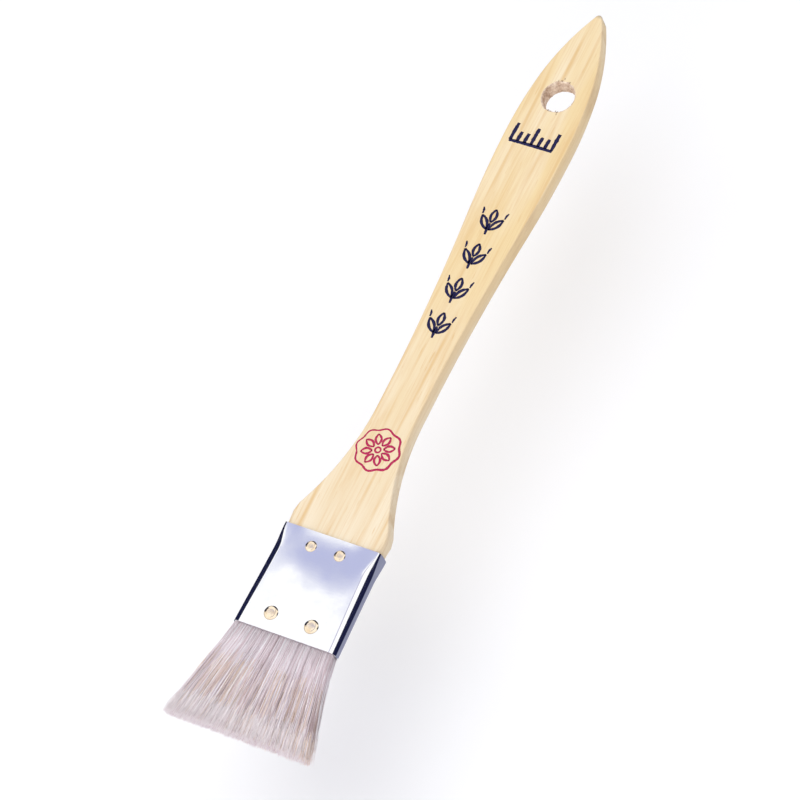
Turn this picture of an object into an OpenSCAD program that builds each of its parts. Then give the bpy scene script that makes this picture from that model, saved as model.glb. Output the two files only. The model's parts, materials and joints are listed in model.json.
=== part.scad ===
// Flat pastry brush: a shaped wooden handle with a hanging hole, a wrapped sheet-metal
// ferrule held by four peened brass pins, and a flared tuft of soft white hair.
// The brush lies on its back. +Y runs to the hanging end, +X to the right, +Z up from the face.
// The origin is the bottom centre of the brush's bounding box.
// Modules draw in the brush's own station lines: y = 0 at the ferrule's top edge, z = 0 at mid thickness.

/* [Handle] */
// Thickness of the wood
handle_t = 5; // [4.6:0.1:6]
// Width across the shoulders, where the wood meets the ferrule
shoulder_w = 27.4; // [26:0.2:28]
// Width of the waist
waist_w = 12; // [10:0.5:14]
// Width of the belly, the widest place of the grip
belly_w = 18.8; // [17:0.2:21]
// Distance from the ferrule to the lower end of the waist
waist_low_y = 38; // [36:1:40]
// Distance from the ferrule to the upper end of the waist
waist_high_y = 44; // [42:1:50]
// Distance from the ferrule to the belly
belly_y = 122; // [112:1:126]
// Radius of the flare from the waist out to the shoulders
flare_r = 75; // [70:1:85]
// Radius of the grip's side just above the belly
belly_r = 115; // [100:5:140]
// Distance from the belly to where the pointed nose begins
nose_run = 16; // [12:1:20]
// Radius of the nose's sides
nose_r = 70; // [66:1:76]
// Radius of the blunt tip
tip_r = 1; // [0.8:0.1:1.4]
// Length of the wood inside the ferrule
tenon_l = 15; // [12:0.5:17]

/* [Hanging hole] */
// Diameter of the hole
hole_d = 9; // [7:0.5:10]
// Distance from the tip to the hole's centre
hole_from_tip = 26.2; // [22:0.2:32]

/* [Ferrule] */
// Length of the ferrule
ferrule_l = 29; // [27:0.5:32]
// Outer width at the top edge
ferrule_top_w = 28.2; // [28.2:0.1:28.8]
// Outer width at the mouth
ferrule_mouth_w = 30; // [29:0.5:31]
// Outer thickness at the mouth
ferrule_mouth_t = 4.6; // [4.4:0.1:5.2]
// Thickness of the sheet metal
sheet_t = 0.4; // [0.3:0.05:0.4]
// Outer radius of the folded corners
corner_r = 1.8; // [1.5:0.1:2]
// Width of the lap seam on the back
lap_w = 3; // [2:0.5:4]

/* [Pins] */
// Distance of the upper pins below the ferrule's top edge
upper_pin_y = 4.3; // [3.5:0.1:6]
// Distance of each upper pin from the middle
upper_pin_x = 4.2; // [4:0.1:6]
// Head diameter of the upper pins
upper_head_d = 3.2; // [2.8:0.1:3.6]
// Distance of the lower pins below the ferrule's top edge
lower_pin_y = 24.2; // [23:0.1:25]
// Distance of each lower pin from the middle
lower_pin_x = 5.9; // [5:0.1:8]
// Head diameter of the lower pins
lower_head_d = 4; // [3.4:0.1:4.4]

/* [Hair] */
// Free length of the hair
hair_l = 28.5; // [24:0.5:34]
// Width of the hair at its trimmed end
hair_end_w = 41.4; // [34:0.2:44]
// Thickness of the tuft at its trimmed end
hair_end_t = 4.4; // [3.6:0.1:5]
// Thickness of the tuft where it is fullest
hair_full_t = 5.2; // [4.6:0.1:5.4]

/* [Hidden] */

slip = 0.05;          // clearance of the inner pieces in the ferrule, and of a pin in its hole
eps = 0.5;            // how far a cutter passes a face
slab_l = 0.02;        // length of the thin slabs that a tapered form is hulled from
outline_n = 70;       // number of steps along the handle's side

// Handle outline: arcs that meet tangentially, from the shoulders to the tip
sway_share = 0.67;    // share of the rise above the waist that is hollow, the rest being full
// Lean of the side where it turns from hollow to full, and the two radii together
sway_lean = 2 * atan((belly_w - waist_w) / 2 / (belly_y - waist_high_y));
sway_reach = (belly_y - waist_high_y) / sin(sway_lean);
sway_r = sway_share * sway_reach;
low_belly_r = sway_reach - sway_r;
sway_end_y = waist_high_y + sway_r * sin(sway_lean);
shoulder_y = waist_low_y - arc_run(flare_r, (shoulder_w - waist_w) / 2);
nose_y = belly_y + nose_run;
nose_lean = asin(nose_run / belly_r);
nose_cx = belly_w / 2 - belly_r + (belly_r - nose_r) * cos(nose_lean);
nose_cy = belly_y + (belly_r - nose_r) * sin(nose_lean);
tip_cy = nose_cy + sqrt(pow(nose_r - tip_r, 2) - pow(nose_cx, 2));
tip_y = tip_cy + tip_r;
tip_lean = atan2(tip_cy - nose_cy, -nose_cx);
shoulder_round = 1.2; // radius of the shoulder's corner

// Ferrule: a sleeve that thins towards the hair, its two edges lapped on the back
top_t = handle_t + 2 * sheet_t;
panel_slope = (top_t - ferrule_mouth_t) / 2 / ferrule_l;

// Pins
upper_shank_d = 1.6;
lower_shank_d = 2;
dome_share = 0.17;    // height of a head as a share of its diameter
tail_share = 0.85;    // diameter of a peened tail as a share of its head's
tail_rise = 0.5;      // height of a peened tail

// Inner stack below the tenon
resin_l = 3.6;
spacer_w = 20;
spacer_t = 1.2;
spacer_l = 8.4;
root_w = 27;

// Tuft: its round root turns just outside the mouth
root_r = 1.9;
root_gap = 0.3;
hinge_y = -ferrule_l - root_gap - root_r;
tuft_rings = 12;
tuft_edge_r = 1.7;

// Place in the bounding box
top_y = (ferrule_l + hair_l - tip_y) / 2;
tail_depth = outer_half_t(-upper_pin_y) + panel_slope * upper_head_d / 2 + tail_rise;
lap_depth = outer_half_t(0) + sheet_t;
mid_z = max(tail_depth, lap_depth);

$fn = 48;

// How far an arc of radius r has left its tangent after a run d, and the run for a given rise h
function arc_rise(r, d) = r - sqrt(r * r - d * d);
function arc_run(r, h) = sqrt(r * r - pow(r - h, 2));
function mix(a, b, k) = a + (b - a) * k;

// Half width of the handle at a distance y from the ferrule
function half_width(y) =
  y <= shoulder_y ? shoulder_w / 2 :
  y <= waist_low_y ? waist_w / 2 + arc_rise(flare_r, waist_low_y - y) :
  y <= waist_high_y ? waist_w / 2 :
  y <= sway_end_y ? waist_w / 2 + arc_rise(sway_r, y - waist_high_y) :
  y <= belly_y ? belly_w / 2 - arc_rise(low_belly_r, belly_y - y) :
  y <= nose_y ? belly_w / 2 - arc_rise(belly_r, y - belly_y) :
  nose_cx + sqrt(nose_r * nose_r - pow(y - nose_cy, 2));

// Outer half thickness and half width of the ferrule at a station y (0 to -ferrule_l)
function outer_half_t(y) = mix(top_t, ferrule_mouth_t, -y / ferrule_l) / 2;
function outer_half_w(y) = mix(ferrule_top_w, ferrule_mouth_w, -y / ferrule_l) / 2;
function inner_half_t(y) = outer_half_t(y) - sheet_t;

module placed() {
  translate([0, top_y, mid_z])
    children();
}

// ---- Handle ----

// The right side of the outline, from the ferrule up to the tip. The shoulder's corner is cut back
// a little each way, so that it reads as sanded.
nose_end_y = tip_cy + tip_r * sin(tip_lean);
side_stations = [
  for (k = [0 : outline_n])
    mix(shoulder_y + shoulder_round, nose_end_y, k / outline_n)
];
tip_angles = [for (k = [1 : 5]) mix(tip_lean, 90, k / 6)];
side_points = concat(
  [[shoulder_w / 2, slip], [shoulder_w / 2, shoulder_y - shoulder_round]],
  [for (y = side_stations) [half_width(y), y]],
  [for (a = tip_angles) [tip_r * cos(a), tip_cy + tip_r * sin(a)]]
);

module blade() {
  translate([0, 0, -handle_t / 2])
    linear_extrude(handle_t)
      polygon(concat(
        side_points,
        [[0, tip_y]],
        [for (i = [len(side_points) - 1 : -1 : 0]) [-side_points[i][0], side_points[i][1]]]
      ));
}

// A thin slab across the brush with its long edges rounded to edge_r, its upper end at a station y
module slab(y, half_w, half_t, edge_r) {
  for (side_x = [-1, 1])
    for (side_z = [-1, 1])
      translate([side_x * (half_w - edge_r), y, side_z * (half_t - edge_r)])
        rotate([90, 0, 0])
          cylinder(h = slab_l, r = edge_r, $fn = 32);
}

module tenon() {
  half_w = shoulder_w / 2 - slip;
  hull() {
    slab(slab_l + slip, half_w, handle_t / 2 - slip, corner_r - sheet_t);
    slab(slab_l - tenon_l, half_w, inner_half_t(-tenon_l) - slip, corner_r - sheet_t);
  }
}

module handle() {
  color("burlywood")
    placed()
      difference() {
        union() {
          blade();
          tenon();
        }
        translate([0, tip_y - hole_from_tip, 0])
          cylinder(h = handle_t + 2 * eps, d = hole_d, center = true);
        pin_holes(upper_pin_x, upper_pin_y, upper_shank_d);
      }
}

// ---- Ferrule ----

// The sleeve's tapered form, depth inside its outer surface and reaching past both ends
module sleeve(depth, past) {
  hull()
    for (y = [past + slab_l / 2, slab_l / 2 - ferrule_l - past])
      slab(y, outer_half_w(y) - depth, outer_half_t(y) - depth, corner_r - depth);
}

// The sheet's outer edge lies over its inner one along the middle of the back, beyond a short bend
module lap() {
  translate([0, 0, -outer_half_t(0)])
    rotate([90 - atan(panel_slope), 0, 0])
      linear_extrude(ferrule_l / cos(atan(panel_slope)))
        polygon([
          [-lap_w / 2, sheet_t / 2], [-lap_w / 2, -sheet_t],
          [lap_w / 2, -sheet_t], [lap_w / 2 + 2 * sheet_t, sheet_t / 2]
        ]);
}

module ferrule() {
  color("silver")
    placed()
      difference() {
        difference() {
          union() {
            sleeve(0, 0);
            lap();
          }
          sleeve(sheet_t, eps);
        }
        pin_holes(upper_pin_x, upper_pin_y, upper_shank_d);
        pin_holes(lower_pin_x, lower_pin_y, lower_shank_d);
      }
}

// ---- Pins ----

// Holes for a left and right pair of pins
module pin_holes(x, y, shank_d) {
  for (side = [-1, 1])
    translate([side * x, -y, 0])
      cylinder(h = top_t + 2 * eps, d = shank_d + 2 * slip, center = true);
}

// A domed cap of diameter d and height h standing on z = 0, as a half profile to be turned
function dome_points(d, h) =
  let (r = (d * d / 4 + h * h) / (2 * h), half = asin(d / 2 / r))
  [for (k = [0 : 8]) let (a = half * (1 - k / 8)) [r * sin(a), r * cos(a) - r + h]];

// A brass pin through the ferrule: a domed head on the face, a shank and a peened tail on the back
module pin(x, y, head_d, shank_d) {
  seat = outer_half_t(-y) + panel_slope * head_d / 2;
  tail_d = head_d * tail_share;
  head = dome_points(head_d, head_d * dome_share);
  tail = dome_points(tail_d, tail_rise);
  color("goldenrod")
    placed()
      translate([x, -y, 0])
        rotate_extrude()
          polygon(concat(
            [[shank_d / 2, seat]],
            [for (p = head) [p[0], seat + p[1]]],
            [for (i = [len(tail) - 1 : -1 : 0]) [tail[i][0], -seat - tail[i][1]]],
            [[shank_d / 2, -seat]]
          ));
}

module upper_pin_left() {
  pin(-upper_pin_x, upper_pin_y, upper_head_d, upper_shank_d);
}

module upper_pin_right() {
  pin(upper_pin_x, upper_pin_y, upper_head_d, upper_shank_d);
}

module lower_pin_left() {
  pin(-lower_pin_x, lower_pin_y, lower_head_d, lower_shank_d);
}

module lower_pin_right() {
  pin(lower_pin_x, lower_pin_y, lower_head_d, lower_shank_d);
}

// ---- Inside the ferrule, below the tenon ----

// A bar across the brush between two stations, low and high giving its two faces there
module bar(width, y0, y1, low0, high0, low1, high1) {
  rotate([90, 0, 90])
    linear_extrude(width, center = true)
      polygon([[y0, low0], [y0, high0], [y1, high1], [y1, low1]]);
}

resin_y0 = -tenon_l - slip;
resin_y1 = resin_y0 - resin_l;
root_y0 = resin_y1 - slip;
spacer_y0 = root_y0 - slip;

module setting_resin() {
  half0 = inner_half_t(resin_y0) - slip;
  half1 = inner_half_t(resin_y1) - slip;
  color("darkgoldenrod")
    placed()
      bar(root_w, resin_y0, resin_y1, -half0, half0, -half1, half1);
}

module spacer_strip() {
  half = spacer_t / 2;
  color("tan")
    placed()
      difference() {
        bar(spacer_w, spacer_y0, spacer_y0 - spacer_l, -half, half, -half, half);
        pin_holes(lower_pin_x, lower_pin_y, lower_shank_d);
      }
}

// The glued part of the hair on one side of the spacer strip
module hair_root() {
  near = spacer_t / 2 + slip;
  color("gainsboro")
    difference() {
      bar(
        root_w, root_y0, -ferrule_l,
        near, inner_half_t(root_y0) - slip,
        near, inner_half_t(-ferrule_l) - slip
      );
      pin_holes(lower_pin_x, lower_pin_y, lower_shank_d);
    }
}

module hair_root_front() {
  placed()
    hair_root();
}

module hair_root_back() {
  placed()
    mirror([0, 0, 1])
      hair_root();
}

// ---- Tuft ----

// Half width and half thickness of the free hair, k from 0 at the hinge to 1 at the trimmed end
function tuft_half_w(k) = mix(ferrule_mouth_w / 2 - sheet_t - slip, hair_end_w / 2, k);
function tuft_half_t(k) = k < 0.5
  ? mix(root_r, hair_full_t / 2, sin(180 * k))
  : mix(hair_full_t / 2, hair_end_t / 2, 1 - sin(180 * k));

// Points round one corner of a section, from angle a0 to a1
function corner_points(x, z, r, a0, a1) =
  [for (k = [0 : 8]) let (a = mix(a0, a1, k / 8)) [x + r * cos(a), z + r * sin(a)]];

// Half a rounded bar: the front layer's section, flat where the two layers meet
function layer_section(half_w, half_t) =
  let (r = min(tuft_edge_r, half_t - slip))
  concat(
    [[half_w, slip]],
    corner_points(half_w - r, half_t - r, r, 0, 90),
    corner_points(r - half_w, half_t - r, r, 90, 180),
    [[-half_w, slip]]
  );

// A solid through rings of points [x, z], one ring at each station y. All rings have the same count of
// points and run anticlockwise, and the stations run towards the hair.
module loft(rings, stations) {
  n = len(rings[0]);
  last = len(rings) - 1;
  points = [for (i = [0 : last]) for (p = rings[i]) [p[0], stations[i], p[1]]];
  walls = [
    for (i = [0 : last - 1])
      for (k = [0 : n - 1])
        let (a = i * n + k, b = i * n + (k + 1) % n)
        each [[a, b + n, b], [a, a + n, b + n]]
  ];
  first_cap = [for (k = [0 : n - 1]) k];
  last_cap = [for (k = [n - 1 : -1 : 0]) last * n + k];
  polyhedron(points, concat([first_cap, last_cap], walls), convexity = 6);
}

// The round root: a quarter turn about the hinge line, so that the tuft clears the mouth as it flexes
root_rings = [for (a = [80 : -20 : 20]) [root_r * sin(a), root_r * cos(a)]];

module tuft_layer() {
  lengths = [for (i = [0 : tuft_rings]) i / tuft_rings];
  body_rings = [for (k = lengths) layer_section(tuft_half_w(k), tuft_half_t(k))];
  body_stations = [for (k = lengths) mix(hinge_y, -ferrule_l - hair_l, k)];
  round_rings = [for (p = root_rings) layer_section(tuft_half_w(0), p[1])];
  round_stations = [for (p = root_rings) hinge_y + p[0]];
  color("linen")
    loft(concat(round_rings, body_rings), concat(round_stations, body_stations));
}

module tuft_front_layer() {
  placed()
    tuft_layer();
}

module tuft_back_layer() {
  placed()
    mirror([0, 0, 1])
      tuft_layer();
}

handle();
ferrule();
upper_pin_left();
upper_pin_right();
lower_pin_left();
lower_pin_right();
setting_resin();
spacer_strip();
hair_root_front();
hair_root_back();
tuft_front_layer();
tuft_back_layer();
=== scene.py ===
"""Looks of the flat pastry brush: sanded wood, a wrapped bright ferrule, brass pins and soft hair.

Sizes are in millimetres in the frame's own axes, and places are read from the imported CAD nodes.
Meshes are scaled to metres as they are made. +Y runs to the hanging end and +Z up from the face.
"""

import json
import math

import bmesh
import bpy
import numpy as np
from mathutils import Matrix, Vector, noise


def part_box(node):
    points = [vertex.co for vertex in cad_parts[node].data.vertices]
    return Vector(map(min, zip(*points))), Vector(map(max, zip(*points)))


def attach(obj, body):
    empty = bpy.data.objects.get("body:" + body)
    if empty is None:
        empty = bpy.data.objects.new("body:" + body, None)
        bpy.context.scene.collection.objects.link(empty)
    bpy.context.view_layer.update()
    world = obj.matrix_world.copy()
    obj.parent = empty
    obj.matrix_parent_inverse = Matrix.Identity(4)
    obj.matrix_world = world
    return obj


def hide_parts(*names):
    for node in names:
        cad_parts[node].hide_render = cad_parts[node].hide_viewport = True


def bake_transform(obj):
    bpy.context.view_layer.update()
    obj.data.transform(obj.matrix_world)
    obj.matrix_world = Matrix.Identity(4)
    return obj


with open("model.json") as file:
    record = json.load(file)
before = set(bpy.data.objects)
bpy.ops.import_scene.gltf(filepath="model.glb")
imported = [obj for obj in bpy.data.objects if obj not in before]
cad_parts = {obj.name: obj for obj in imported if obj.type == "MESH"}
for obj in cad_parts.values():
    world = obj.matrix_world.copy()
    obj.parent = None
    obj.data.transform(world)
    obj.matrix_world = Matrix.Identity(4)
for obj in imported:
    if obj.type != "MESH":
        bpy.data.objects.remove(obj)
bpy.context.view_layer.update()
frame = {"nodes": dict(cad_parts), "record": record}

MM = 0.001


# ---- What the CAD nodes measure ----

def node_points(node):
    """A CAD node's vertices in millimetres."""
    return np.array([v.co for v in frame["nodes"][node].data.vertices]) / MM


def corners(node):
    """Lowest and highest corner of a CAD node in millimetres."""
    low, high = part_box(node)
    return np.array(low) / MM, np.array(high) / MM


def reach(node, y, band=0.2):
    """Largest x and z of a CAD node's vertices near a station y."""
    points = node_points(node)
    near = points[abs(points[:, 1] - y) < band]
    return near[:, 0].max(), near[:, 2].max()


wood_low, wood_high = corners("handle")
ferrule_low, ferrule_high = corners("ferrule")
hair_low, hair_high = corners("tuft_front_layer")

MID_Z = (wood_low[2] + wood_high[2]) / 2
WOOD_HALF_T = (wood_high[2] - wood_low[2]) / 2
TIP_Y = wood_high[1]
TENON_Y = wood_low[1]
TOP_Y = ferrule_high[1]
MOUTH_Y = ferrule_low[1]
HAIR_END_Y = hair_low[1]

TOP_HALF_W, top_z = reach("ferrule", TOP_Y)
MOUTH_HALF_W, mouth_z = reach("ferrule", MOUTH_Y)
TOP_HALF_T = top_z - MID_Z
MOUTH_HALF_T = mouth_z - MID_Z
SHEET_T = TOP_HALF_T - WOOD_HALF_T

hang_hole = next(m for m in frame["record"]["mounts"] if m["name"] == "hang_hole")
HOLE_Y = hang_hole["pos_m"][1] / MM
HOLE_R = hang_hole["dims"]["r_mm"]


def mix(a, b, k):
    """From a at k = 0 to b at k = 1."""
    return a + (b - a) * k


def smooth(k):
    """A smooth step from 0 to 1."""
    k = np.clip(k, 0, 1)
    return k * k * (3 - 2 * k)


def wander(*place):
    """Soft noise about zero at a place."""
    return noise.noise(Vector(place))


# ---- Meshes ----

def finish_mesh(name, bm, materials, body):
    """Turns a bmesh in millimetres into a piece in metres that rides on a body."""
    bmesh.ops.recalc_face_normals(bm, faces=bm.faces)
    mesh = bpy.data.meshes.new(name)
    bm.to_mesh(mesh)
    bm.free()
    mesh.transform(Matrix.Scale(MM, 4))
    for material in materials:
        mesh.materials.append(material)
    piece = bpy.data.objects.new(name, mesh)
    bpy.context.scene.collection.objects.link(piece)
    if body:
        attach(piece, body)
    return piece


def add_loop(bm, points):
    return [bm.verts.new(p) for p in points]


def bridge(bm, a, b, material=0, closed=True):
    """Quads between two loops of the same count."""
    count = len(a) if closed else len(a) - 1
    for i in range(count):
        j = (i + 1) % len(a)
        face = bm.faces.new((a[i], a[j], b[j], b[i]))
        face.material_index = material
        face.smooth = True


# ---- Materials ----

class Paint:
    """One Principled material, built a node at a time. Fixed values are set on the shader's sockets."""

    def __init__(self, name, **fixed):
        self.material = bpy.data.materials.new(name)
        self.material.use_nodes = True
        self.tree = self.material.node_tree
        self.shader = self.tree.nodes["Principled BSDF"]
        for socket, value in fixed.items():
            self.set(socket.replace("_", " "), value)

    def put(self, socket, value):
        if isinstance(value, bpy.types.NodeSocket):
            self.tree.links.new(value, socket)
        elif isinstance(value, tuple) and len(value) == 3 and socket.type == "RGBA":
            socket.default_value = (*value, 1)
        else:
            socket.default_value = value

    def set(self, socket, value):
        self.put(self.shader.inputs[socket], value)

    def node(self, kind, settings=None, inputs=None):
        made = self.tree.nodes.new(kind)
        for name, value in (settings or {}).items():
            setattr(made, name, value)
        for name, value in (inputs or {}).items():
            self.put(made.inputs[name], value)
        return made

    def place(self, x, y, z):
        """Object coordinates in cycles per millimetre along each axis."""
        coordinates = self.node("ShaderNodeTexCoord").outputs["Object"]
        scale = (x / MM, y / MM, z / MM)
        product = self.node(
            "ShaderNodeVectorMath", {"operation": "MULTIPLY"}, {0: coordinates, 1: scale}
        )
        return product.outputs[0]

    def noise(self, place, detail=3.0, roughness=0.5, distortion=0.0):
        made = self.node(
            "ShaderNodeTexNoise", None,
            {"Vector": place, "Scale": 1.0, "Detail": detail, "Roughness": roughness,
             "Distortion": distortion},
        )
        return made.outputs[0]

    def wave(self, place, distortion, detail_scale):
        made = self.node(
            "ShaderNodeTexWave", {"wave_type": "BANDS", "bands_direction": "X"},
            {"Vector": place, "Scale": 1.0, "Distortion": distortion, "Detail": 2.0,
             "Detail Scale": detail_scale},
        )
        return made.outputs["Fac"]

    def spread(self, value, low, high, to_low=0.0, to_high=1.0):
        """Maps low..high of a value to to_low..to_high, clamped."""
        made = self.node(
            "ShaderNodeMapRange", None,
            {"Value": value, "From Min": low, "From Max": high, "To Min": to_low, "To Max": to_high},
        )
        return made.outputs[0]

    def math(self, operation, a, b):
        return self.node("ShaderNodeMath", {"operation": operation}, {0: a, 1: b}).outputs[0]

    def axis(self, name):
        """One object coordinate in millimetres."""
        split = self.node("ShaderNodeSeparateXYZ", None, {"Vector": self.place(1, 1, 1)})
        return split.outputs[name]

    def blend(self, share, a, b):
        made = self.node("ShaderNodeMix", {"data_type": "RGBA"})
        self.put(made.inputs[0], share)
        self.put(made.inputs[6], a)
        self.put(made.inputs[7], b)
        return made.outputs[2]

    def bump(self, height, depth, strength=1.0):
        made = self.node(
            "ShaderNodeBump", None, {"Height": height, "Distance": depth * MM, "Strength": strength}
        )
        self.set("Normal", made.outputs[0])


def wood(name, tip_colour, neck_colour, line_colour):
    """Pale close-grained wood whose grain runs along Y: growth lines, soft patches and fine fibres."""
    paint = Paint(name, Specular_IOR_Level=0.3)
    along = paint.spread(paint.axis("Y"), TOP_Y, TOP_Y + 90)
    colour = paint.blend(along, neck_colour, tip_colour)
    patches = paint.noise(paint.place(0.2, 0.02, 0.2), detail=2)
    colour = paint.blend(paint.spread(patches, 0.4, 0.7, 0, 0.55), colour, (0.905, 0.805, 0.63))
    warm = paint.noise(paint.place(0.45, 0.035, 0.45), detail=3, roughness=0.6)
    colour = paint.blend(paint.spread(warm, 0.5, 0.72, 0, 0.5), colour, line_colour)
    rings = paint.wave(paint.place(0.07, 0.0034, 0.05), distortion=7.5, detail_scale=0.6)
    breaks = paint.spread(paint.noise(paint.place(0.4, 0.035, 0.4)), 0.42, 0.62)
    rings = paint.math("MULTIPLY", paint.spread(rings, 0.8, 1.0, 0, 0.7), breaks)
    colour = paint.blend(rings, colour, line_colour)
    fibres = paint.noise(paint.place(3.2, 0.05, 3.2), detail=4, roughness=0.62)
    colour = paint.blend(paint.spread(fibres, 0.48, 0.7, 0, 0.42), colour, line_colour)
    flecks = paint.noise(paint.place(1.5, 0.16, 1.5), detail=2)
    colour = paint.blend(paint.spread(flecks, 0.66, 0.76, 0, 0.6), colour, line_colour)
    worn_end = paint.spread(paint.axis("Y"), TIP_Y - 1.2, TIP_Y - 0.2, 0, 0.6)
    paint.set("Base Color", paint.blend(worn_end, colour, (0.26, 0.22, 0.19)))
    paint.set("Roughness", paint.spread(fibres, 0.3, 0.7, 0.5, 0.66))
    paint.bump(fibres, 0.05, 0.5)
    return paint.material


def torn_wood():
    """The hanging hole's rough wall: brownish, with torn fibres along the drill's path."""
    paint = Paint("torn_wood", Specular_IOR_Level=0.2)
    tears = paint.noise(paint.place(0.8, 0.8, 0.5), detail=5, roughness=0.72)
    colour = paint.blend(paint.spread(tears, 0.35, 0.66), (0.46, 0.29, 0.19), (0.95, 0.8, 0.64))
    paint.set("Base Color", colour)
    paint.set("Roughness", paint.spread(tears, 0.3, 0.7, 0.75, 0.95))
    paint.bump(tears, 0.2)
    return paint.material


def bright_metal():
    """Polished plated sheet with faint rolling lines and a few soft smudges."""
    paint = Paint("bright_metal", Metallic=1.0)
    rolling = paint.noise(paint.place(0.25, 7, 7), detail=3)
    smudges = paint.noise(paint.place(0.22, 0.22, 0.22), detail=3)
    tint = paint.blend(paint.spread(smudges, 0.35, 0.7), (0.93, 0.935, 0.95), (0.86, 0.87, 0.905))
    paint.set("Base Color", tint)
    paint.set("Roughness", paint.spread(smudges, 0.35, 0.75, 0.06, 0.11))
    paint.bump(rolling, 0.002, 0.35)
    return paint.material


def brass():
    """Hammered brass with a slight tarnish."""
    paint = Paint("brass", Metallic=1.0)
    tarnish = paint.noise(paint.place(0.7, 0.7, 0.7), detail=4)
    colour = paint.blend(paint.spread(tarnish, 0.35, 0.75), (0.95, 0.82, 0.64), (0.84, 0.66, 0.45))
    paint.set("Base Color", colour)
    paint.set("Roughness", paint.spread(tarnish, 0.3, 0.7, 0.1, 0.2))
    paint.bump(paint.noise(paint.place(1.4, 1.4, 1.4), detail=1), 0.003)
    return paint.material


def amber_resin():
    """Cured amber resin with swirls."""
    paint = Paint("amber_resin", Coat_Weight=0.3)
    swirls = paint.noise(paint.place(0.4, 0.4, 0.4), distortion=1.2)
    depth = paint.spread(swirls, 0.3, 0.7)
    paint.set("Base Color", paint.blend(depth, (0.36, 0.15, 0.03), (0.55, 0.27, 0.07)))
    paint.set("Roughness", paint.spread(swirls, 0.3, 0.7, 0.15, 0.3))
    paint.bump(swirls, 0.05)
    return paint.material


def packed_hair(name, low_colour, high_colour):
    """Hair seen as a mass: fine streaks that run along Y."""
    paint = Paint(name, Specular_IOR_Level=0.3)
    streaks = paint.noise(paint.place(3.2, 0.06, 3.2), detail=4, roughness=0.65)
    broad = paint.noise(paint.place(0.4, 0.02, 0.4), detail=2)
    colour = paint.blend(paint.spread(streaks, 0.35, 0.7), low_colour, high_colour)
    colour = paint.blend(paint.spread(broad, 0.5, 0.72, 0, 0.45), colour, (0.52, 0.4, 0.34))
    paint.set("Base Color", colour)
    paint.set("Roughness", paint.spread(streaks, 0.3, 0.7, 0.5, 0.7))
    paint.bump(streaks, 0.12)
    return paint.material


def strand(name, colour):
    """One tone of hair."""
    paint = Paint(name, Roughness=0.42, Specular_IOR_Level=0.42)
    paint.set("Base Color", colour)
    paint.set("Sheen Weight", 0.25)
    return paint.material


def ink(name, full, thin):
    """Stamped ink that soaked in unevenly."""
    paint = Paint(name, Specular_IOR_Level=0.25)
    soak = paint.noise(paint.place(2.4, 0.9, 2.4), detail=4, roughness=0.65)
    paint.set("Base Color", paint.blend(paint.spread(soak, 0.55, 0.8, 0, 0.6), full, thin))
    paint.set("Roughness", paint.spread(soak, 0.3, 0.7, 0.5, 0.7))
    paint.bump(soak, 0.02)
    return paint.material


def floor_paint():
    """Plain pale floor with a faint haze."""
    paint = Paint("pale_floor", Specular_IOR_Level=0.1)
    haze = paint.noise(paint.place(0.004, 0.004, 0.004), detail=2)
    paint.set("Base Color", paint.blend(haze, (0.93, 0.93, 0.93), (0.95, 0.95, 0.95)))
    paint.set("Roughness", paint.spread(haze, 0.3, 0.7, 0.8, 0.95))
    return paint.material


# ---- Handle ----

EDGE_R = 0.28           # rounding of the sanded edges
SHOULDER_EDGE_R = 1.3   # rounding where the wood is pared to enter the sleeve
SHOULDER_RUN = 5.5      # how far up from the ferrule the paring reaches
ROUND_STEPS = 4


def handle_side():
    """Points [x, y] up the right side of the handle, read from the CAD node's face."""
    points = node_points("handle")
    face = points[(points[:, 2] > wood_high[2] - 0.01) & (points[:, 1] > TOP_Y) & (points[:, 0] > 0.01)]
    off_hole = np.hypot(face[:, 0], face[:, 1] - HOLE_Y) > HOLE_R + 0.3
    side = np.unique(face[off_hole][:, :2].round(3), axis=0)
    side = side[side[:, 1].argsort()]
    neck = [[side[0][0], y] for y in np.linspace(TENON_Y, TOP_Y - 0.5, 8)]
    return np.array(neck + side.tolist())


def loop_normals(loop):
    """Outward normals of a closed loop of [x, y] that runs anticlockwise."""
    ahead = np.roll(loop, -1, axis=0) - loop
    behind = loop - np.roll(loop, 1, axis=0)
    ahead /= np.linalg.norm(ahead, axis=1)[:, None]
    behind /= np.linalg.norm(behind, axis=1)[:, None]
    tangent = ahead + behind
    tangent /= np.linalg.norm(tangent, axis=1)[:, None]
    return np.stack([tangent[:, 1], -tangent[:, 0]], axis=1)


def rounded_levels(loop, out, radius):
    """Loops of [x, y, z] down a wall whose two edges are rounded. out is the way out of the wood."""
    levels = []
    for side in (1, -1):
        angles = np.linspace(90, 0, ROUND_STEPS + 1)
        for angle in np.radians(angles if side > 0 else angles[::-1]):
            flat = loop - out * (radius * (1 - math.cos(angle)))[:, None]
            z = side * (WOOD_HALF_T - radius + radius * math.sin(angle))
            levels.append(np.column_stack([flat, z]))
    return levels


def pared(points):
    """Thins what lies inside the ferrule, so that it fits the sleeve's taper."""
    inside = np.clip((TOP_Y - points[:, 1]) / (TOP_Y - MOUTH_Y), 0, 1)
    inner = mix(WOOD_HALF_T, MOUTH_HALF_T - SHEET_T, inside) - np.where(inside > 0, 0.05, 0)
    points[:, 2] *= inner / WOOD_HALF_T
    points[:, 0] *= np.where(inside > 0, 0.995, 1)
    points[:, 2] += MID_Z
    return points


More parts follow.
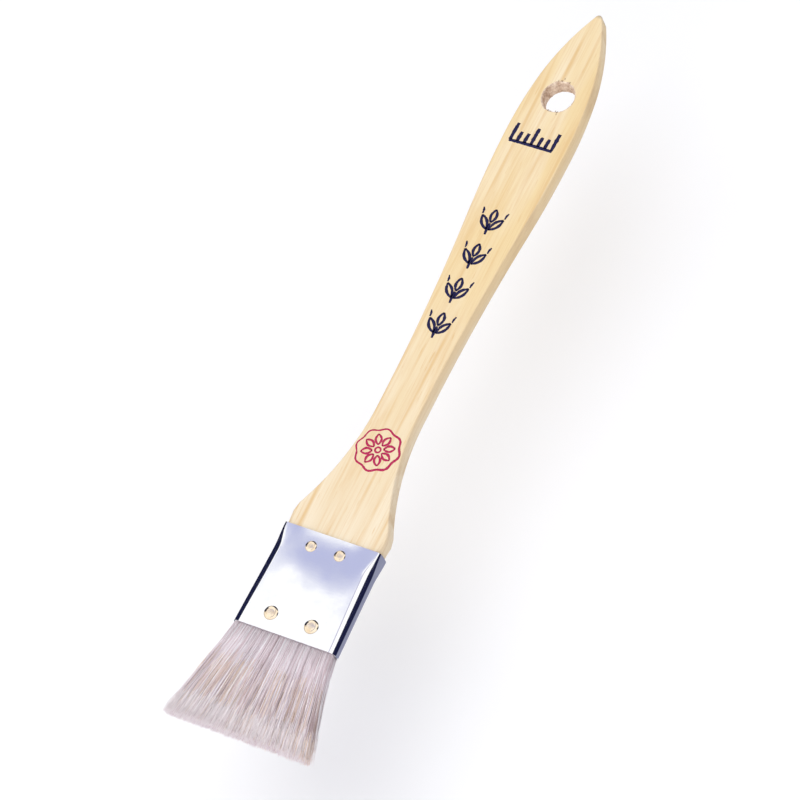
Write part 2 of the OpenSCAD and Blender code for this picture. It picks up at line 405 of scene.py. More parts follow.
def make_handle(face_wood, shaded_edge_wood, hole_wood):
    side = handle_side()
    tip = np.array([[0, TIP_Y]])
    loop = np.concatenate([side, tip, (side * [-1, 1])[::-1]])
    near_shoulder = smooth(1 - (loop[:, 1] - TOP_Y) / SHOULDER_RUN)
    radius = mix(EDGE_R, SHOULDER_EDGE_R, near_shoulder)
    radius = np.minimum(radius, np.maximum(abs(loop[:, 0]), 0.5) * 0.5 + 0.1)
    outer = rounded_levels(loop, loop_normals(loop), radius)

    turns = np.linspace(0, 2 * math.pi, 96, endpoint=False)
    torn = np.array([abs(wander(3 * math.cos(a), 3 * math.sin(a), 5)) for a in turns])
    along_grain = abs(np.sin(turns)) ** 3
    ring = np.stack([np.cos(turns), np.sin(turns)], axis=1)
    hole = ring * HOLE_R + [0, HOLE_Y]
    rim = 0.2 + 0.5 * torn * along_grain
    inner = rounded_levels(hole, -ring, rim)
    for depth, level in enumerate(inner[1:-1]):
        rough = [0.16 * wander(p[0] * 1.3, p[1] * 1.3, depth * 1.7) for p in level]
        level[:, :2] -= ring * np.abs(rough)[:, None]

    bm = bmesh.new()
    outer = [add_loop(bm, pared(level)) for level in outer]
    inner = [add_loop(bm, pared(level)) for level in inner]
    # The walls and rounded edges take the darker wood, painted shade; the flat faces keep the face wood.
    for a, b in zip(outer, outer[1:]):
        bridge(bm, a, b, material=1)
    for a, b in zip(inner, inner[1:]):
        bridge(bm, a, b, material=2)
    bm.edges.ensure_lookup_table()
    for k in (0, -1):
        rims = []
        for verts in (outer[k], inner[k]):
            for a, b in zip(verts, verts[1:] + verts[:1]):
                edge = bm.edges.get((a, b))
                edge.smooth = False
                rims.append(edge)
        bmesh.ops.triangle_fill(bm, use_beauty=True, use_dissolve=False, edges=rims)
    piece = finish_mesh("wooden_handle", bm, [face_wood, shaded_edge_wood, hole_wood], "brush")
    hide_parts("handle")
    return piece


# ---- Ferrule ----

CORNER_TIGHT_R = 0.8    # the folded corner where the sheet grips the wood
CORNER_FULL_R = 2.0     # and where it is free
CORNER_MOUTH_R = 1.7    # and at the mouth
CORNER_STRETCH = 1.25   # a free corner is wider than it is deep
PANEL_INSET = 2.5       # from a side to where the panel's pillow ends
BULGE = 0.24            # how far the front panel is pillowed
SIDE_BULGE = 0.12       # and how far the narrow sides are
PIN_HOLD = 0.08         # how much of the pillow's height a pin holds down
PIN_HOLD_REACH = 1.4    # and how far round it, in head radii
FERRULE_EDGE = 0.1      # how far the sheet's cut edges are rounded
LAP_HALF_W = 1.5        # half width of the lapped strip on the back
LAP_BEND = 0.8          # run of the short bend at one side of it
PINS = ("upper_pin_left", "upper_pin_right", "lower_pin_left", "lower_pin_right")


def pin_places():
    """Centre x and y and head radius of each pin."""
    places = []
    for pin in PINS:
        low, high = corners(pin)
        places.append(((low[0] + high[0]) / 2, (low[1] + high[1]) / 2, (high[0] - low[0]) / 2))
    return places


pins_at = pin_places()


def half_size(y):
    """Half width and half thickness of the sleeve at a station y."""
    k = (TOP_Y - y) / (TOP_Y - MOUTH_Y)
    return mix(TOP_HALF_W, MOUTH_HALF_W, k), mix(TOP_HALF_T, MOUTH_HALF_T, k)


def panel_lift(x, y):
    """How far a panel stands above its plane: a soft pillow that the pins hold down."""
    panel_half = half_size(y)[0] - PANEL_INSET
    across = max(0, 1 - abs(x / panel_half) ** 3)
    along = max(0, 1 - abs(2 * (TOP_Y - y) / (TOP_Y - MOUTH_Y) - 1) ** 2.4)
    held = 1
    for px, py, r in pins_at:
        d = math.hypot(x - px, y - py)
        held *= 1 - PIN_HOLD * math.exp(-((d / (PIN_HOLD_REACH * r)) ** 2))
    return BULGE * across * along * held


def lap_rise(x):
    """Height of the lapped edge on the back: a step at one side and a short bend at the other."""
    if x < -LAP_HALF_W:
        return 0
    return float(np.clip((LAP_HALF_W + LAP_BEND - x) / LAP_BEND, 0, 1))


def corner_size(y):
    """Width and depth of the sleeve's rounded corner at a station y."""
    k = (TOP_Y - y) / (TOP_Y - MOUTH_Y)
    freed = smooth(4 * k)
    r = mix(CORNER_TIGHT_R, mix(CORNER_FULL_R, CORNER_MOUTH_R, smooth(k * 1.6 - 0.6)), freed)
    return r * mix(1, CORNER_STRETCH, freed), r


def sleeve_contour(y, depth):
    """Section [x, z] of the sheet at a station y, depth inside its outer surface."""
    half_w, half_t = half_size(y)
    corner_w, corner_t = corner_size(y)
    x0 = half_w - corner_w
    z0 = half_t - corner_t
    lap_share = 1 - depth / SHEET_T
    points = []

    def corner(sx, sz, start):
        for a in np.radians(np.linspace(start, start + 90, 13)):
            points.append((
                sx * x0 + (corner_w - depth) * math.cos(a),
                sz * z0 + (corner_t - depth) * math.sin(a),
            ))

    def side(sx):
        for k in np.linspace(0, 1, 7)[1:-1]:
            bow = SIDE_BULGE * (1 - (2 * k - 1) ** 2)
            points.append((sx * (half_w - depth + bow), sx * mix(-z0, z0, k)))

    side(1)
    corner(1, 1, 0)
    for x in np.linspace(x0, -x0, 41)[1:-1]:
        points.append((x, half_t - depth + panel_lift(x, y)))
    corner(-1, 1, 90)
    side(-1)
    corner(-1, -1, 180)
    step = LAP_HALF_W + 0.02
    left = np.linspace(-x0, -step, 14)[1:]
    right = np.linspace(-LAP_HALF_W, x0, 27)[:-1]
    for x in [*left, *right]:
        points.append((x, depth - half_t - SHEET_T * lap_share * lap_rise(x) - 0.6 * panel_lift(x, y)))
    corner(1, -1, 270)
    return points


def make_ferrule(metal):
    stations = TOP_Y - (TOP_Y - MOUTH_Y) * np.linspace(0, 1, 45)
    inside = np.concatenate([stations[:1] - FERRULE_EDGE, stations[1:-1], stations[-1:] + FERRULE_EDGE])
    rings = [(y, 0) for y in inside]
    rings.append((MOUTH_Y, SHEET_T / 2))
    rings += [(y, SHEET_T) for y in inside[::-1]]
    rings.append((TOP_Y, SHEET_T / 2))
    bm = bmesh.new()
    loops = []
    for y, depth in rings:
        loops.append(add_loop(bm, [(x, y, MID_Z + z) for x, z in sleeve_contour(y, depth)]))
    for a, b in zip(loops, loops[1:] + loops[:1]):
        bridge(bm, a, b)
    piece = finish_mesh("wrapped_ferrule", bm, [metal], "brush")
    piece.data.set_sharp_from_angle(angle=math.radians(50))
    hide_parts("ferrule")
    return piece


# ---- Pins ----

PIN_FLAT = 0.46         # share of a head's radius that is nearly flat
PIN_CROWN = 0.02        # share of a head's rise that its flat top is crowned by
PIN_RISE = 0.8          # share of the CAD head's height that the turned head stands to
PIN_SEAT = -0.15        # how far a head's wall goes down into the sheet
PIN_DENT = 0.02         # how uneven a hammered head's radius is


def pin_profile(radius, rise, seat):
    """Half profile [r, z] of a burnished head: a nearly flat top that rolls over to a wall down to seat."""
    flat = PIN_FLAT * radius
    crown = PIN_CROWN * rise
    profile = [(flat * k, rise - crown * k * k) for k in np.linspace(0, 1, 5)]
    for a in np.radians([80, 70, 60, 50, 40, 30, 20, 10, 0]):
        profile.append((flat + (radius - flat) * math.cos(a), (rise - crown) * math.sin(a)))
    profile.append((radius - 0.02, seat))
    return profile


def make_pin(pin, brass_paint):
    """A pin with its head on the face and its peened tail on the back, turned about its own axis."""
    points = node_points(pin)
    low, high = corners(pin)
    x, y = (low[0] + high[0]) / 2, (low[1] + high[1]) / 2
    head_r = (high[0] - low[0]) / 2
    face = MID_Z + half_size(y)[1]
    back = MID_Z - half_size(y)[1]
    tail = points[points[:, 2] < back]
    tail_r = tail[:, 0].max() - x
    head = [(r, face + z) for r, z in pin_profile(head_r, (high[2] - face) * PIN_RISE, PIN_SEAT)]
    peened = [(r, back - z) for r, z in pin_profile(tail_r, back - low[2], PIN_SEAT)]
    bm = bmesh.new()
    turns = np.linspace(0, 2 * math.pi, 40, endpoint=False)
    loops = []
    for r, z in head[1:] + peened[:0:-1]:
        dent = [1 + PIN_DENT * wander(math.cos(a) * 2, math.sin(a) * 2, x) for a in turns]
        ring = [(x + r * d * math.cos(a), y + r * d * math.sin(a), z) for a, d in zip(turns, dent)]
        loops.append(add_loop(bm, ring))
    for a, b in zip(loops, loops[1:]):
        bridge(bm, a, b)
    for ring, z in ((loops[0], head[0][1]), (loops[-1], peened[0][1])):
        centre = bm.verts.new((x, y, z))
        for a, b in zip(ring, ring[1:] + ring[:1]):
            bm.faces.new((centre, a, b)).smooth = True
    piece = finish_mesh(pin + "_turned", bm, [brass_paint], "brush")
    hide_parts(pin)


# ---- Ink marks, all plain ornament ----

INK_T = 0.02
INK_Z = wood_high[2] - 0.005
WHEAT_X = -0.9
WHEAT_UP = (63.67, 74.37, 84.97, 95.57)     # the whorls, above the ferrule's top edge
TICKS_DOWN = 15.67                          # the tick row, below the hole's centre
ROSETTE_UP = 26.07                          # the rosette's centre, above the ferrule's top edge
ROSETTE_R = 5.9
SCALLOPS = 8


def stroke(bm, points, widths, closed=False):
    """A flat inked line through points [x, y] with a width at each, as a thin closed form."""
    points = np.array(points, float)
    ahead = np.roll(points, -1, axis=0) - np.roll(points, 1, axis=0)
    if not closed:
        ahead[0] = points[1] - points[0]
        ahead[-1] = points[-1] - points[-2]
    ahead /= np.linalg.norm(ahead, axis=1)[:, None]
    across = np.stack([-ahead[:, 1], ahead[:, 0]], axis=1)
    rough = [1 + 0.35 * wander(p[0] * 2.1, p[1] * 2.1, 9) for p in points]
    half = (np.array(widths, float) * rough / 2)[:, None]
    sides = (points + across * half, points - across * half)
    loops = []
    for flat, z in ((sides[0], INK_T), (sides[1], INK_T), (sides[1], 0), (sides[0], 0)):
        loops.append(add_loop(bm, [(x, y, INK_Z + z) for x, y in flat]))
    for a, b in zip(loops, loops[1:] + loops[:1]):
        bridge(bm, a, b, closed=closed)
    if not closed:
        bm.faces.new([loop[0] for loop in loops])
        bm.faces.new([loop[-1] for loop in loops])


def arc(start, end, sag, count=14):
    """Points from start to end along a line that bows to its left by sag."""
    start, end = np.array(start, float), np.array(end, float)
    along = end - start
    left = np.array([-along[1], along[0]]) / np.linalg.norm(along)
    return [mix(start, end, k) + left * sag * math.sin(math.pi * k) for k in np.linspace(0, 1, count)]


def tapered(count, full, ends):
    """Widths along a stroke, full in its middle."""
    return [mix(ends, full, math.sin(math.pi * k)) for k in np.linspace(0, 1, count)]


def grain_outline(bm, base, tip, fat):
    """One wheat grain drawn as two bowed lines."""
    for sag in (fat, -fat):
        line = arc(base, tip, sag)
        stroke(bm, line, tapered(len(line), 0.85, 0.45))


def make_wheat(navy):
    """A spaced ear of wheat up the grip: four whorls of three grains on a broken stem."""
    bm = bmesh.new()
    x = WHEAT_X
    for above in WHEAT_UP:
        centre_y = TOP_Y + above
        stroke(bm, arc((x, centre_y - 3.9), (x, centre_y - 0.4), 0.12), tapered(14, 0.82, 0.55))
        grain_outline(bm, (x, centre_y - 0.2), (x, centre_y + 3.8), 0.8)
        for side in (-1, 1):
            base = (x + side * 0.35, centre_y - 2.4)
            grain_outline(bm, base, (x + side * 3.1, centre_y + 1.4), 0.75)
            awn = arc((x + side * 3.3, centre_y + 1.7), (x + side * 3.7, centre_y + 3.6), side * 0.15)
            stroke(bm, awn, tapered(len(awn), 0.6, 0.35))
    piece = finish_mesh("ink_wheat", bm, [navy], "brush")


def make_ticks(navy):
    """A plain row of tick bars across the grip below the hole."""
    bm = bmesh.new()
    base_y = HOLE_Y - TICKS_DOWN
    line = arc((-7.2, base_y), (5.6, base_y), 0.1, 30)
    stroke(bm, line, tapered(len(line), 0.95, 0.8))
    for k, x in enumerate(np.linspace(-6.9, 5.3, 7)):
        length = 5.4 if k % 3 == 0 else 3.2
        bar = arc((x, base_y + 0.2), (x + 0.25, base_y + length), 0.05)
        stroke(bm, bar, tapered(len(bar), 1.1, 0.85))
    piece = finish_mesh("ink_ticks", bm, [navy], "brush")


def make_rosette(red):
    """A stamped rosette near the neck: a scalloped ring round a plain flower."""
    centre = np.array([0, TOP_Y + ROSETTE_UP])
    bm = bmesh.new()
    turns = np.linspace(0, 2 * math.pi, 160, endpoint=False)
    ring = []
    for a in turns:
        r = ROSETTE_R + 0.28 * math.cos(SCALLOPS * a)
        ring.append(centre + r * np.array([math.cos(a), math.sin(a)]))
    stroke(bm, ring, [0.56 + 0.14 * math.sin(a + 2) for a in turns], closed=True)
    for k in range(SCALLOPS):
        a = math.pi * k / 4 + math.pi / 8
        way = np.array([math.cos(a), math.sin(a)])
        for sag in (0.8, -0.8):
            petal = arc(centre + 1.5 * way, centre + 4.6 * way, sag)
            stroke(bm, petal, tapered(len(petal), 0.66, 0.4))
    dot = [centre + 0.75 * np.array([math.cos(a), math.sin(a)]) for a in turns[::8]]
    stroke(bm, dot, [0.5] * len(dot), closed=True)
    piece = finish_mesh("ink_rosette", bm, [red], "brush")


def make_splinters(dark_wood):
    """Small dark fibres torn up above and below the hole's rim."""
    bm = bmesh.new()
    rng = np.random.default_rng(9)
    for side in (-1, 1):
        for k in range(7):
            x = rng.uniform(-2.2, 2.2)
            y = HOLE_Y + side * (math.sqrt(HOLE_R ** 2 - x ** 2) + rng.uniform(0.05, 1.3 if k < 3 else 0.4))
            length = rng.uniform(0.25, 0.6)
            line = arc((x, y), (x + rng.uniform(-0.1, 0.1), y + length), 0.04, 6)
            stroke(bm, line, tapered(len(line), rng.uniform(0.14, 0.26), 0.08))
    piece = finish_mesh("torn_fibres", bm, [dark_wood], "brush")


# ---- Hair ----

HAIR_R = 0.075          # radius of a drawn strand
ROOT_INSIDE = 1.2       # how far the strands start inside the ferrule's mouth
STRAY_REACH = 0.9       # how far a stray hair may stand out from the tuft's sides
TIP_FALL = 2.2          # how much shorter an outer hair may be
LOCKS = 27
CORE_INSET = 0.55       # how far the core lies inside the tuft's outline
CORE_SHORT = 3.2        # how far it stops short of the hair's end

TONES = {
    "lavender": (0.815, 0.715, 0.755),
    "light": (0.95, 0.91, 0.93),
    "rose": (0.69, 0.545, 0.575),
    "tan": (0.79, 0.615, 0.51),
    "dark": (0.2, 0.13, 0.12),
    # Near black of strands that paint the shade in gaps between locks.
    "pale": (0.91, 0.83, 0.835),
    # Brown of strands that are partly the hair's own tint and partly painted shade on the tuft's right
    # side.
    "umber_tint_and_shade": (0.47, 0.345, 0.34),
}

# Places across the tuft, -1 to 1, that the darker strands gather at.
PEACH = (-0.72, -0.66, -0.36, 0.08, 0.2, 0.32, 0.72, 0.8)
# Where the brown strands gather, most on the right: partly the hair's brown tint, partly painted shade on
# the side away from the light.
TINT_AND_SHADE_PLACES = (0.0, 0.2, 0.42, 0.6, 0.74, 0.86, 0.93, 0.98)
# Where the dark strands gather: painted shade in gaps between locks, most in a crack on the right.
SHADE = (-0.6, -0.4, 0.1, 0.74, 0.8, 0.8, 0.83)

# Outer strands: name, count, girth, tones from root to tip, spans in the root's tone, places, crossing.
OUTER_STRANDS = (
    ("lavender", 1800, 1.0, ("lavender", "lavender", "pale"), 2, (), 0.012),
    ("rose", 1300, 1.0, ("rose", "rose", "pale"), 2, (), 0.02),
    ("tan", 1500, 1.0, ("lavender", "tan", "pale"), 2, PEACH, 0.02),
    ("light", 700, 1.25, ("light", "light", "pale"), 2, (), 0.05),
    # Brown strands: partly the hair's own tint, partly painted shade on the tuft's right side.
    ("umber_tint_and_shade", 680, 1.0, ("rose", "umber_tint_and_shade", "tan"), 2, TINT_AND_SHADE_PLACES, 0.03),
    # Dark strands: painted shade in gaps between locks.
    ("dark", 110, 1.1, ("rose", "dark", "rose"), 3, SHADE, 0.02),
)
INNER_STRANDS = (("pale", 2300), ("lavender", 1000), ("rose", 600))


def tuft_profile():
    """Stations with the tuft's half width and half thickness, read from the CAD layer."""
    points = node_points("tuft_front_layer")
    stations = np.unique(points[:, 1].round(2))
    rows = []
    for y in stations:
        near = points[abs(points[:, 1] - y) < 0.02]
        rows.append((y, near[:, 0].max(), near[:, 2].max() - MID_Z))
    return np.array([r for r in rows if r[0] < MOUTH_Y - 2])


profile = tuft_profile()


def tuft_half(y):
    """Half width and half thickness of the tuft at stations y."""
    half_w = np.interp(y, profile[:, 0], profile[:, 1])
    half_t = np.interp(y, profile[:, 0], profile[:, 2])
    mouth = smooth((y - profile[-1, 0]) / (MOUTH_Y + ROOT_INSIDE - profile[-1, 0]))
    half_w = mix(half_w, MOUTH_HALF_W - SHEET_T - 0.35, mouth)
    half_t = mix(half_t, MOUTH_HALF_T - SHEET_T - 0.1, mouth)
    return half_w, half_t


def locks(rng, count):
    """Places across the tuft, -1 to 1, that the strands gather towards."""
    centres = np.linspace(-1, 1, count) + rng.uniform(-0.45, 0.45, count) / count
    return np.sort(centres)


def strand_lines(rng, count, stops, shell, start_k, streaks=(), cross=0.012):
    """Centre lines (count, rings, 3) of strands.

    stops are the rings' shares of the length and start_k is where along the hair each strand starts.
    A shell's strands lie near the surface. streaks are places that most of them gather at, and cross
    is how far a strand's tip drifts aside.
    """
    u = rng.uniform(-1, 1, count)
    if streaks:
        gathered = rng.choice(streaks, count) + rng.normal(0, 0.1, count)
        u = np.where(rng.uniform(0, 1, count) < 0.75, np.clip(gathered, -0.99, 0.99), u)
    v = rng.uniform(-1, 1, count)
    if shell:
        depth = rng.uniform(0, 1, count) ** 1.4 * 0.45
        v = np.sign(v) * (1 - depth)
        on_side = rng.uniform(0, 1, count) < 0.1
        u = np.where(on_side, np.sign(u) * (1 - 0.05 * rng.uniform(0, 1, count)), u)
        v = np.where(on_side, rng.uniform(-1, 1, count), v)
    centres = locks(rng, LOCKS)
    nearest = abs(u[:, None] - centres[None]).argmin(axis=1)
    pull = rng.uniform(0, 0.3, count)
    tip_u = mix(u, centres[nearest], pull) + rng.normal(0, cross, count)
    tip_v = v * rng.uniform(0.9, 1.04, count)
    lock_len = rng.normal(0, 0.34, len(centres))[nearest]
    end_y = HAIR_END_Y + 0.2 + abs(rng.normal(0, 0.5, count)) + lock_len * 0.5
    if shell:
        end_y += TIP_FALL * rng.uniform(0, 1, count) ** 2 * (1 - u ** 6)
    start_y = MOUTH_Y + ROOT_INSIDE
    shifts = rng.uniform(-0.1, 0.1, count)[:, None] * np.sin(math.pi * stops)
    k = start_k[:, None] + (1 - start_k)[:, None] * (stops + shifts)
    y = start_y + (end_y - start_y)[:, None] * k
    half_w, half_t = tuft_half(y)
    across = mix(u[:, None], tip_u[:, None], k ** 1.6)
    through = mix(v[:, None], tip_v[:, None], k)
    round_off = np.sqrt(np.clip(1 - np.clip(abs(across) - 0.95, 0, 1) ** 2 / 0.07 ** 2, 0.1, 1))
    x = across * half_w
    z = through * half_t * round_off
    for waves, size in ((1.3, 0.16), (2.9, 0.07)):
        phase_x = rng.uniform(0, 2 * math.pi, count)[:, None]
        phase_z = rng.uniform(0, 2 * math.pi, count)[:, None]
        reach_x = size * rng.uniform(0.2, 1.6, count)[:, None]
        x += reach_x * k * np.sin(phase_x + waves * math.pi * k)
        z += 0.35 * size * k * np.sin(phase_z + waves * math.pi * k)
    stray = (rng.uniform(0, 1, count) < 0.02)[:, None]
    x += stray * rng.normal(0, 0.9, count)[:, None] * k ** 2
    x = np.clip(x, hair_low[0] - STRAY_REACH, hair_high[0] + STRAY_REACH)
    return np.stack([x, y, z + MID_Z], axis=2)


def strand_mesh(name, lines, radii, tones, materials):
    """Three-sided tubes round centre lines. tones gives the material of each span along a strand."""
    count, rings = lines.shape[:2]
    angles = np.linspace(0, 2 * math.pi, 3, endpoint=False)
    spin = np.arange(count)[:, None, None] * 1.7 + angles
    offset_x = np.cos(spin) * radii[None, :, None]
    offset_z = np.sin(spin) * radii[None, :, None]
    verts = np.repeat(lines[:, :, None, :], 3, axis=2)
    verts[..., 0] += offset_x
    verts[..., 2] += offset_z
    base = (np.arange(count) * rings * 3)[:, None, None]
    ring = (np.arange(rings - 1) * 3)[None, :, None]
    side = np.arange(3)[None, None, :]
    a = base + ring + side
    b = base + ring + (side + 1) % 3
    quads = np.stack([a, b, b + 3, a + 3], axis=3)
    quad_tones = np.broadcast_to(np.array(tones)[None, :, None], quads.shape[:3])
    first = base[:, 0, 0]
    last = first + (rings - 1) * 3
    caps = np.concatenate([
        np.stack([first + 2, first + 1, first], axis=1),
        np.stack([last, last + 1, last + 2], axis=1),
    ])
    faces = quads.reshape(-1, 4).tolist() + caps.tolist()
    mesh = bpy.data.meshes.new(name)
    mesh.from_pydata((verts.reshape(-1, 3) * MM).tolist(), [], faces)
    for material in materials:
        mesh.materials.append(material)
    cap_tones = [tones[0]] * count + [tones[-1]] * count
    mesh.polygons.foreach_set("material_index", quad_tones.ravel().tolist() + cap_tones)
    mesh.polygons.foreach_set("use_smooth", [True] * len(faces))
    mesh.update()
    piece = bpy.data.objects.new(name, mesh)
    bpy.context.scene.collection.objects.link(piece)
    return piece


def flex(piece):
    """Fixes a hair piece's placement into its mesh and hides the CAD tuft layers."""
    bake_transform(piece)
    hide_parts("tuft_front_layer", "tuft_back_layer")


def make_core(material):
    """The mass of the hair behind the outer strands."""
    end_y = HAIR_END_Y + CORE_SHORT
    bm = bmesh.new()
    loops = []
    for y in np.linspace(MOUTH_Y + 0.6, end_y, 18):
        half_w, half_t = tuft_half(np.array(y))
        half_w = float(half_w) - CORE_INSET
        half_t = float(half_t) - CORE_INSET
        loop = []
        for a in np.linspace(0, 2 * math.pi, 72, endpoint=False):
            c, s = math.cos(a), math.sin(a)
            x = half_w * math.copysign(abs(c) ** 0.35, c)
            z = half_t * math.copysign(abs(s) ** 0.5, s)
            loop.append((x, y + 0.5 * wander(x, z, 3), MID_Z + z))
        loops.append(add_loop(bm, loop))
    for a, b in zip(loops, loops[1:]):
        bridge(bm, a, b)
    bm.faces.new(loops[0])
    bm.faces.new(loops[-1])
    flex(finish_mesh("hair_core", bm, [material], None))


def make_hair():
    rng = np.random.default_rng(30)
    paint = {name: strand("hair_" + name, colour) for name, colour in TONES.items()}
    stops = np.array([0, 0.2, 0.38, 0.54, 0.68, 0.8, 0.9, 1.0])
    radii = HAIR_R * np.array([1, 1, 1.05, 1.05, 1, 0.9, 0.75, 0.3])
    for name, count, girth, parts, root_spans, streaks, cross in OUTER_STRANDS:
        lines = strand_lines(rng, count, stops, True, np.zeros(count), streaks, cross)
        spans = [0] * root_spans + [1] * (5 - root_spans) + [2, 2]
        materials = [paint[p] for p in parts]
        flex(strand_mesh("hair_" + name + "_strands", lines, radii * girth, spans, materials))
    stops = np.array([0, 0.5, 0.8, 1.0])
    radii = HAIR_R * np.array([1, 1, 0.9, 0.5])
    for name, count in INNER_STRANDS:
        lines = strand_lines(rng, count, stops, False, rng.uniform(0.66, 0.8, count))
        flex(strand_mesh("hair_inner_" + name + "_strands", lines, radii, [0, 0, 0], [paint[name]]))


# ---- Studio ----

CAMERA_AZIMUTH = 52.5
CAMERA_ELEVATION = 57.9
CAMERA_ROLL = -29.9
CAMERA_DISTANCE = 1200
CAMERA_TARGET = (-2.1, -10.15, MID_Z)
LENS = 211.1
FLOOR_DROP = 40         # the brush is held this far above the floor, so that its hair can flex down


def make_camera():
    """The camera looks at its target from an azimuth and elevation, and is rolled about its own axis."""
    azimuth = math.radians(CAMERA_AZIMUTH)
    elevation = math.radians(CAMERA_ELEVATION)
    roll = math.radians(CAMERA_ROLL)
    back = Vector((
        math.cos(elevation) * math.sin(azimuth),
        -math.cos(elevation) * math.cos(azimuth),
        math.sin(elevation),
    ))
    level = Vector((math.cos(azimuth), math.sin(azimuth), 0))
    upright = back.cross(level)
    right = level * math.cos(roll) + upright * math.sin(roll)
    up = upright * math.cos(roll) - level * math.sin(roll)
    place = Vector(CAMERA_TARGET) + back * CAMERA_DISTANCE
    camera = bpy.data.objects.new("camera", bpy.data.cameras.new("camera"))
    camera.matrix_world = Matrix.Translation(place * MM) @ Matrix((right, up, back)).transposed().to_4x4()
    camera.data.lens = LENS
    bpy.context.scene.collection.objects.link(camera)
    bpy.context.scene.camera = camera
    return place


def make_floor():
    """A wide round floor."""
    bm = bmesh.new()
    z = -FLOOR_DROP
    centre = bm.verts.new((0, 0, z))
    rings = []
    for radius in (400, 1200, 4000):
        turns = np.linspace(0, 2 * math.pi, 64, endpoint=False)
        rings.append(add_loop(bm, [(radius * math.cos(a), radius * math.sin(a), z) for a in turns]))
    for a, b in zip(rings[0], rings[0][1:] + rings[0][:1]):
        bm.faces.new((centre, a, b))
    for a, b in zip(rings, rings[1:]):
        bridge(bm, a, b)
    finish_mesh("floor", bm, [floor_paint()], None)


def card(name, points, colour, strength):
    """A glowing studio card that only shows in reflections."""
    material = bpy.data.materials.new(name)
    material.use_nodes = True
    tree = material.node_tree
    tree.nodes.clear()
    glow = tree.nodes.new("ShaderNodeEmission")
    glow.inputs["Color"].default_value = (*colour, 1)
    glow.inputs["Strength"].default_value = strength
    output = tree.nodes.new("ShaderNodeOutputMaterial")
    tree.links.new(glow.outputs[0], output.inputs["Surface"])
    bm = bmesh.new()
    bm.faces.new(add_loop(bm, points))
    piece = finish_mesh(name, bm, [material], None)
    piece.visible_camera = False
    piece.visible_diffuse = False
    piece.visible_transmission = False
    piece.visible_shadow = False


def seen_in_panel(eye, x, down, height):
    """The point at a height that an eye sees reflected in the front panel, at x and down from its top."""
    y = TOP_Y - down
    step = 0.05

    def surface(px, py):
        return MID_Z + half_size(py)[1] + panel_lift(px, py)

    slope_x = (surface(x + step, y) - surface(x - step, y)) / (2 * step)
    slope_y = (surface(x, y + step) - surface(x, y - step)) / (2 * step)
    normal = Vector((-slope_x, -slope_y, 1)).normalized()
    point = Vector((x, y, surface(x, y)))
    ray = (point - eye).normalized().reflect(normal)
    return point + ray * ((height - point.z) / ray.z)


SKY_Z = 760
SKY_HALF_W = 1700
LINE_Z = SKY_Z - 30
PATCH_Z = SKY_Z - 40
FLOOR_CARD_Z = 1 - FLOOR_DROP
SIDE_CARD_X = 420
BACK_CARD_Y = 620
NAVY = (0.012, 0.014, 0.05)

# The lavender patch on the front panel: x, distance down from the top edge and a shift aside of its card.
PATCH_TOP = ((-11, 0.8, -160), (-7, 0.8, 0), (0, 0.8, 0), (7, 0.8, 0), (11, 0.8, 160))
PATCH_FOOT = ((11, 13, 160), (6, 13, 0), (2, 12.2, 0), (-2, 11, 0), (-6, 9.4, 0), (-11, 6.6, -80))
# How far each card reaches past the patch's foot, from the widest and palest to the deepest.
LAVENDER = (
    (1.6, (0.86, 0.87, 0.97)),
    (0.8, (0.7, 0.715, 0.9)),
    (0, (0.58, 0.6, 0.83)),
    (-0.9, (0.51, 0.535, 0.78)),
)


def make_cards(eye):
    """What the metal reflects: a white sky, a soft-footed lavender patch, a line and dark sides."""
    wide = SKY_HALF_W
    sky = [(-wide, -wide, SKY_Z), (wide, -wide, SKY_Z), (wide, wide, SKY_Z), (-wide, wide, SKY_Z)]
    card("sky_card", sky, (1, 1, 1), 1.15)
    for layer, (spare, colour) in enumerate(LAVENDER):
        patch = []
        for x, down, aside in PATCH_TOP + tuple((x, down + spare, aside) for x, down, aside in PATCH_FOOT):
            patch.append(seen_in_panel(eye, x, down, PATCH_Z - 10 * layer) + Vector((aside, 0, 0)))
        card("lavender_card_" + str(layer), patch, colour, 1.0)
    line = [(-150, -300, LINE_Z), (-30, -300, LINE_Z), (-30, 700, LINE_Z), (-150, 700, LINE_Z)]
    card("line_card", line, (0.56, 0.54, 0.68), 1.0)
    low = FLOOR_CARD_Z
    for name, side, near, y0, y1, tall in (("left", -1, 24, 0, 220, 470), ("right", 1, 76, -30, 340, 480)):
        x = side * SIDE_CARD_X
        card(name + "_dark_card", [(x, y0, low), (x, y1, low), (x, y1, tall), (x, y0, tall)], NAVY, 1.0)
        floor_part = [(side * near, -120, low), (x, -60, low), (x, 240, low), (side * near, 120, low)]
        card(name + "_floor_card", floor_part, NAVY, 1.0)
    side_grey = [(12, -120, low), (76, -120, low), (76, 120, low), (12, 120, low)]
    card("side_grey_card", side_grey, (0.29, 0.3, 0.41), 1.0)
    back = BACK_CARD_Y
    for name, start, end, bottom, top in (
        ("far_dark_card", (-300, back), (-60, back), low, 600),
        ("high_dark_card", (-60, back), (300, back), 110, 600),
        ("side_dark_card", (-450, back), (-300, back), low, 430),
        ("low_dark_card", (-700, back), (-450, back), low, 140),
        ("low_left_card", (-SIDE_CARD_X, 220), (-700, back), low, 140),
    ):
        card(name, [(*start, bottom), (*end, bottom), (*end, top), (*start, top)], NAVY, 1.0)


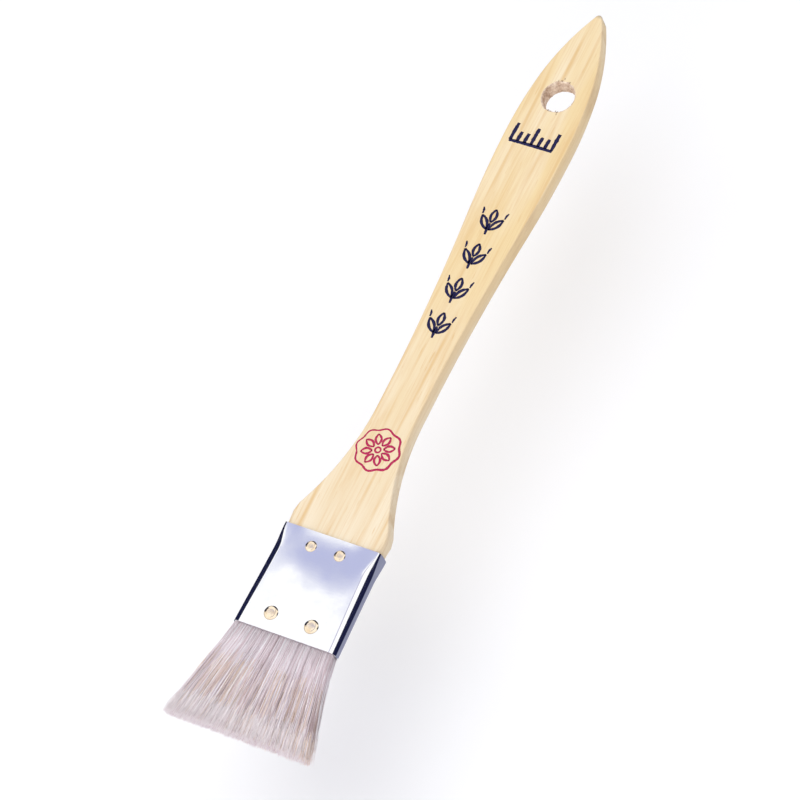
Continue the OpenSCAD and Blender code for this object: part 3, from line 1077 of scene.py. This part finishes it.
def area_light(name, place, size, power, colour):
    light = bpy.data.lights.new(name, "AREA")
    light.size = size * MM
    light.energy = power
    light.color = colour
    lamp = bpy.data.objects.new(name, light)
    lamp.location = Vector(place) * MM
    lamp.rotation_euler = (-Vector(place)).to_track_quat("-Z", "Y").to_euler()
    lamp.visible_camera = False
    lamp.visible_glossy = False
    bpy.context.scene.collection.objects.link(lamp)


def make_lights():
    area_light("key", (-300, 200, 1100), 1300, 5.9, (1, 0.99, 0.97))
    area_light("fill", (250, -900, 420), 900, 4.6, (0.98, 0.97, 1))
    world = bpy.data.worlds.new("studio")
    world.use_nodes = True
    bpy.context.scene.world = world
    backdrop = world.node_tree.nodes["Background"]
    backdrop.inputs["Color"].default_value = (0.93, 0.945, 1, 1)
    backdrop.inputs["Strength"].default_value = 0.73
    bpy.context.scene.view_settings.view_transform = "Standard"


def paint_node(node, material):
    """Gives a CAD node that stays its material."""
    mesh = frame["nodes"][node].data
    mesh.materials.clear()
    mesh.materials.append(material)


def main():
    eye = make_camera()
    make_lights()
    make_floor()
    make_cards(eye)
    face_wood = wood("face_wood", (0.82, 0.63, 0.338), (0.82, 0.68, 0.475), (0.72, 0.475, 0.21))
    # The walls and rounded edges get a darker copy of the face wood: painted shade on the sides.
    shaded_edge_wood = wood("shaded_edge_wood", (0.79, 0.595, 0.335), (0.79, 0.63, 0.42), (0.63, 0.435, 0.23))
    make_handle(face_wood, shaded_edge_wood, torn_wood())
    make_ferrule(bright_metal())
    navy = ink("navy_ink", (0.008, 0.007, 0.06), (0.05, 0.042, 0.15))
    make_wheat(navy)
    make_ticks(navy)
    make_splinters(ink("torn_dark", (0.28, 0.17, 0.1), (0.5, 0.34, 0.2)))
    make_rosette(ink("red_ink", (0.47, 0.01, 0.085), (0.6, 0.12, 0.17)))
    pin_brass = brass()
    for pin in PINS:
        make_pin(pin, pin_brass)
    paint_node("setting_resin", amber_resin())
    paint_node("spacer_strip", face_wood)
    packed = packed_hair("packed_hair", (0.58, 0.49, 0.53), (0.82, 0.74, 0.79))
    paint_node("hair_root_front", packed)
    paint_node("hair_root_back", packed)
    make_core(packed)
    make_hair()


main()
